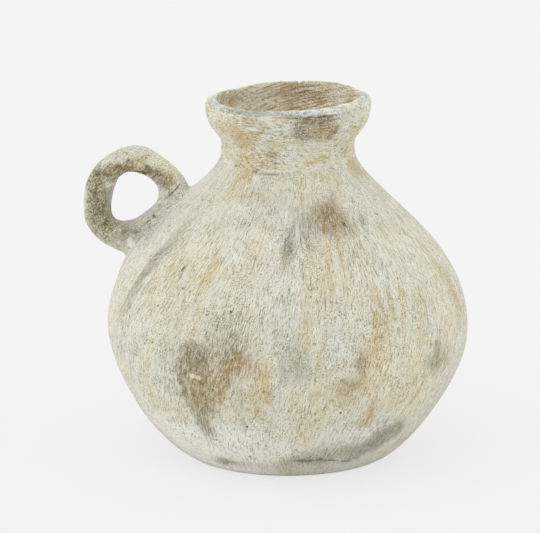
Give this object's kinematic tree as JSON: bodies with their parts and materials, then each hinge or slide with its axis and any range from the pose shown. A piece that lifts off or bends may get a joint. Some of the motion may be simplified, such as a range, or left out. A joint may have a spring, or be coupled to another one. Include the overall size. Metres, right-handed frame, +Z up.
{
  "type": "terracotta vase",
  "caption": "Squat round-bodied terracotta vase with a short flared neck and a finger loop luted on its shoulder, in a worn limewashed finish.",
  "frame": {"origin": "centre of the flat foot's underside, on the vase's upright axis", "axes": "+Z up through the mouth; the finger loop stands on the -X side, in the XZ plane; -Y faces the viewer of the picture, who stands about 6 degrees round towards +X"},
  "size_m": [0.2356, 0.2198, 0.223],
  "materials": {
    "foot_clay": "bare fired clay, matte",
    "body_limewash": "worn limewash over fired clay, matte",
    "neck_limewash": "worn ochre-tinted limewash, matte",
    "lip_limewash": "thick limewash, matte",
    "handle_clay": "mottled bare clay, matte",
    "luting_clay": "smeared grey clay, matte"
  },
  "bodies": {
    "root": {"base_dish": "foot_clay", "belly_wall": "body_limewash", "neck_collar": "neck_limewash", "lip_coil": "lip_limewash", "loop_handle": "handle_clay", "upper_root_luting": "luting_clay", "lower_root_luting": "luting_clay"}
  },
  "joints": []
}
